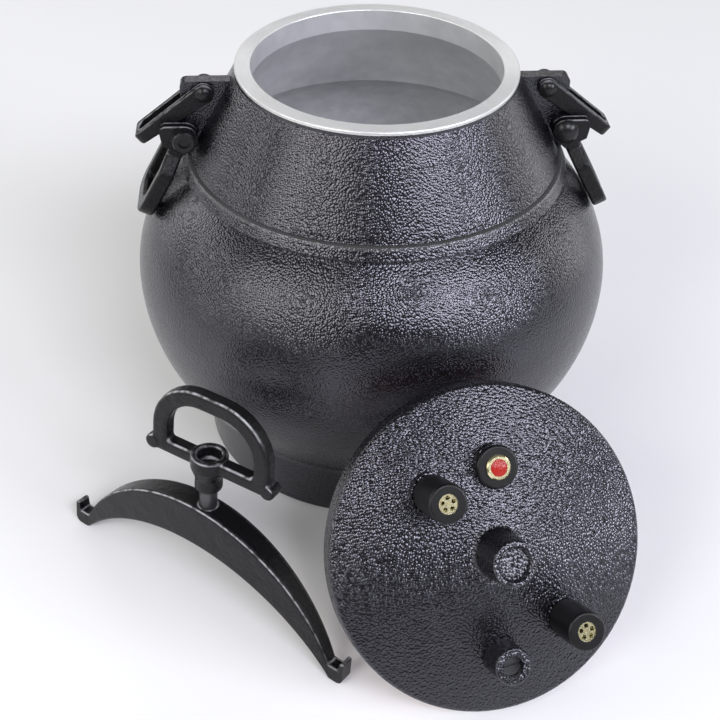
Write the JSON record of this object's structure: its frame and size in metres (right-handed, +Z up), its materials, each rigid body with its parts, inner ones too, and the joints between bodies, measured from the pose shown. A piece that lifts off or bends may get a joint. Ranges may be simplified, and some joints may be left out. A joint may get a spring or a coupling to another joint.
{
  "type": "pressure cooker",
  "caption": "Round-bellied cast pressure cooker, open, with its valved lid leaning on the belly and its arched screw clamp standing in front.",
  "frame": {"origin": "on the floor under the middle of the pot's foot", "axes": "+Z up along the pot's axis, -Y to the front where the lid and clamp are, +X to the right through the right handle"},
  "size_m": [0.3419, 0.4254, 0.2662],
  "materials": {
    "hammertone": "glossy black hammertone paint",
    "cast_black": "satin black paint on a casting",
    "black_cap": "satin black heat-resistant plastic",
    "black_steel": "blackened steel",
    "screw_steel": "dark oiled steel",
    "brass": "turned brass",
    "red_plug": "red fusible plug",
    "rubber": "heat-resistant silicone rubber",
    "spring_steel": "bright spring wire"
  },
  "bodies": {
    "pot": {"pot_body": "hammertone", "left_catch_pin": "black_steel", "left_handle_bolt": "black_steel", "left_handle_washer": "black_steel", "left_handle_nut": "black_steel", "right_catch_pin": "black_steel", "right_handle_bolt": "black_steel", "right_handle_washer": "black_steel", "right_handle_nut": "black_steel"},
    "left_catch": {"left_catch": "cast_black"},
    "right_catch": {"right_catch": "cast_black"},
    "left_ring_handle": {"left_ring_handle": "cast_black"},
    "right_ring_handle": {"right_ring_handle": "cast_black"},
    "lid": {"lid_plate": "hammertone", "lid_gasket": "rubber", "stub_plug": "spring_steel", "safety_socket": "black_cap", "safety_ring": "brass", "safety_plug": "red_plug", "safety_nut": "brass", "valve_a_body": "brass", "valve_a_seal": "rubber", "valve_a_nut": "brass", "valve_a_retainer": "brass", "valve_a_spring": "spring_steel", "valve_b_body": "brass", "valve_b_seal": "rubber", "valve_b_nut": "brass", "valve_b_retainer": "brass", "valve_b_spring": "spring_steel"},
    "valve_a_top": {"valve_a_poppet": "brass", "valve_a_cap": "black_cap", "valve_a_insert": "brass"},
    "valve_b_top": {"valve_b_poppet": "brass", "valve_b_cap": "black_cap", "valve_b_insert": "brass"},
    "yoke": {"yoke_bar": "cast_black"},
    "tip": {"thrust_tip": "screw_steel"},
    "screw": {"clamp_screw": "screw_steel", "screw_handle": "cast_black", "cross_pin": "screw_steel", "retaining_pin": "screw_steel"}
  },
  "joints": [
    {"name": "left_catch_swing", "type": "hinge", "parent": "pot", "child": "left_catch", "pos_m": [-0.1037, 0, 0.2503], "axis": [0, 1, 0], "range_deg": [0, 134]},
    {"name": "left_handle_swing", "type": "hinge", "parent": "pot", "child": "left_ring_handle", "pos_m": [-0.11616, 0, 0.2245], "axis": [0, 1, 0], "range_deg": [0, 120]},
    {"name": "right_catch_swing", "type": "hinge", "parent": "pot", "child": "right_catch", "pos_m": [0.1037, 0, 0.2503], "axis": [0, -1, 0], "range_deg": [0, 134]},
    {"name": "right_handle_swing", "type": "hinge", "parent": "pot", "child": "right_ring_handle", "pos_m": [0.11616, 0, 0.2245], "axis": [0, -1, 0], "range_deg": [0, 120]},
    {"name": "lid_lift", "type": "slide", "parent": "pot", "child": "lid", "axis": [0, 0, 1], "range_m": [0, 0.28]},
    {"name": "valve_a_lift", "type": "slide", "parent": "lid", "child": "valve_a_top", "axis": [0.1809, -0.816, 0.549], "range_m": [0, 0.0035], "stiffness_N_per_m": 800, "springref_m": -0.002, "deforming": ["valve_a_spring"]},
    {"name": "valve_b_lift", "type": "slide", "parent": "lid", "child": "valve_b_top", "axis": [0.1809, -0.816, 0.549], "range_m": [0, 0.0035], "stiffness_N_per_m": 800, "springref_m": -0.002, "deforming": ["valve_b_spring"]},
    {"name": "yoke_lift", "type": "slide", "parent": "pot", "child": "yoke", "axis": [-0.4564, -0.5401, 0.7071], "range_m": [0, 0.22]},
    {"name": "tip_travel", "type": "slide", "parent": "yoke", "child": "tip", "axis": [0.0675, 0.0798, 0.9945], "range_m": [-0.0128, 0.006]},
    {"name": "screw_turn", "type": "hinge", "parent": "tip", "child": "screw", "pos_m": [-0.10341, -0.16029, 0.09718], "axis": [0.0675, 0.0798, 0.9945], "range_deg": [-1536, 720]}
  ],
  "couplings": [
    {"joint": "tip_travel", "follows": "screw_turn", "m_per_rad": 0.00047746}
  ]
}
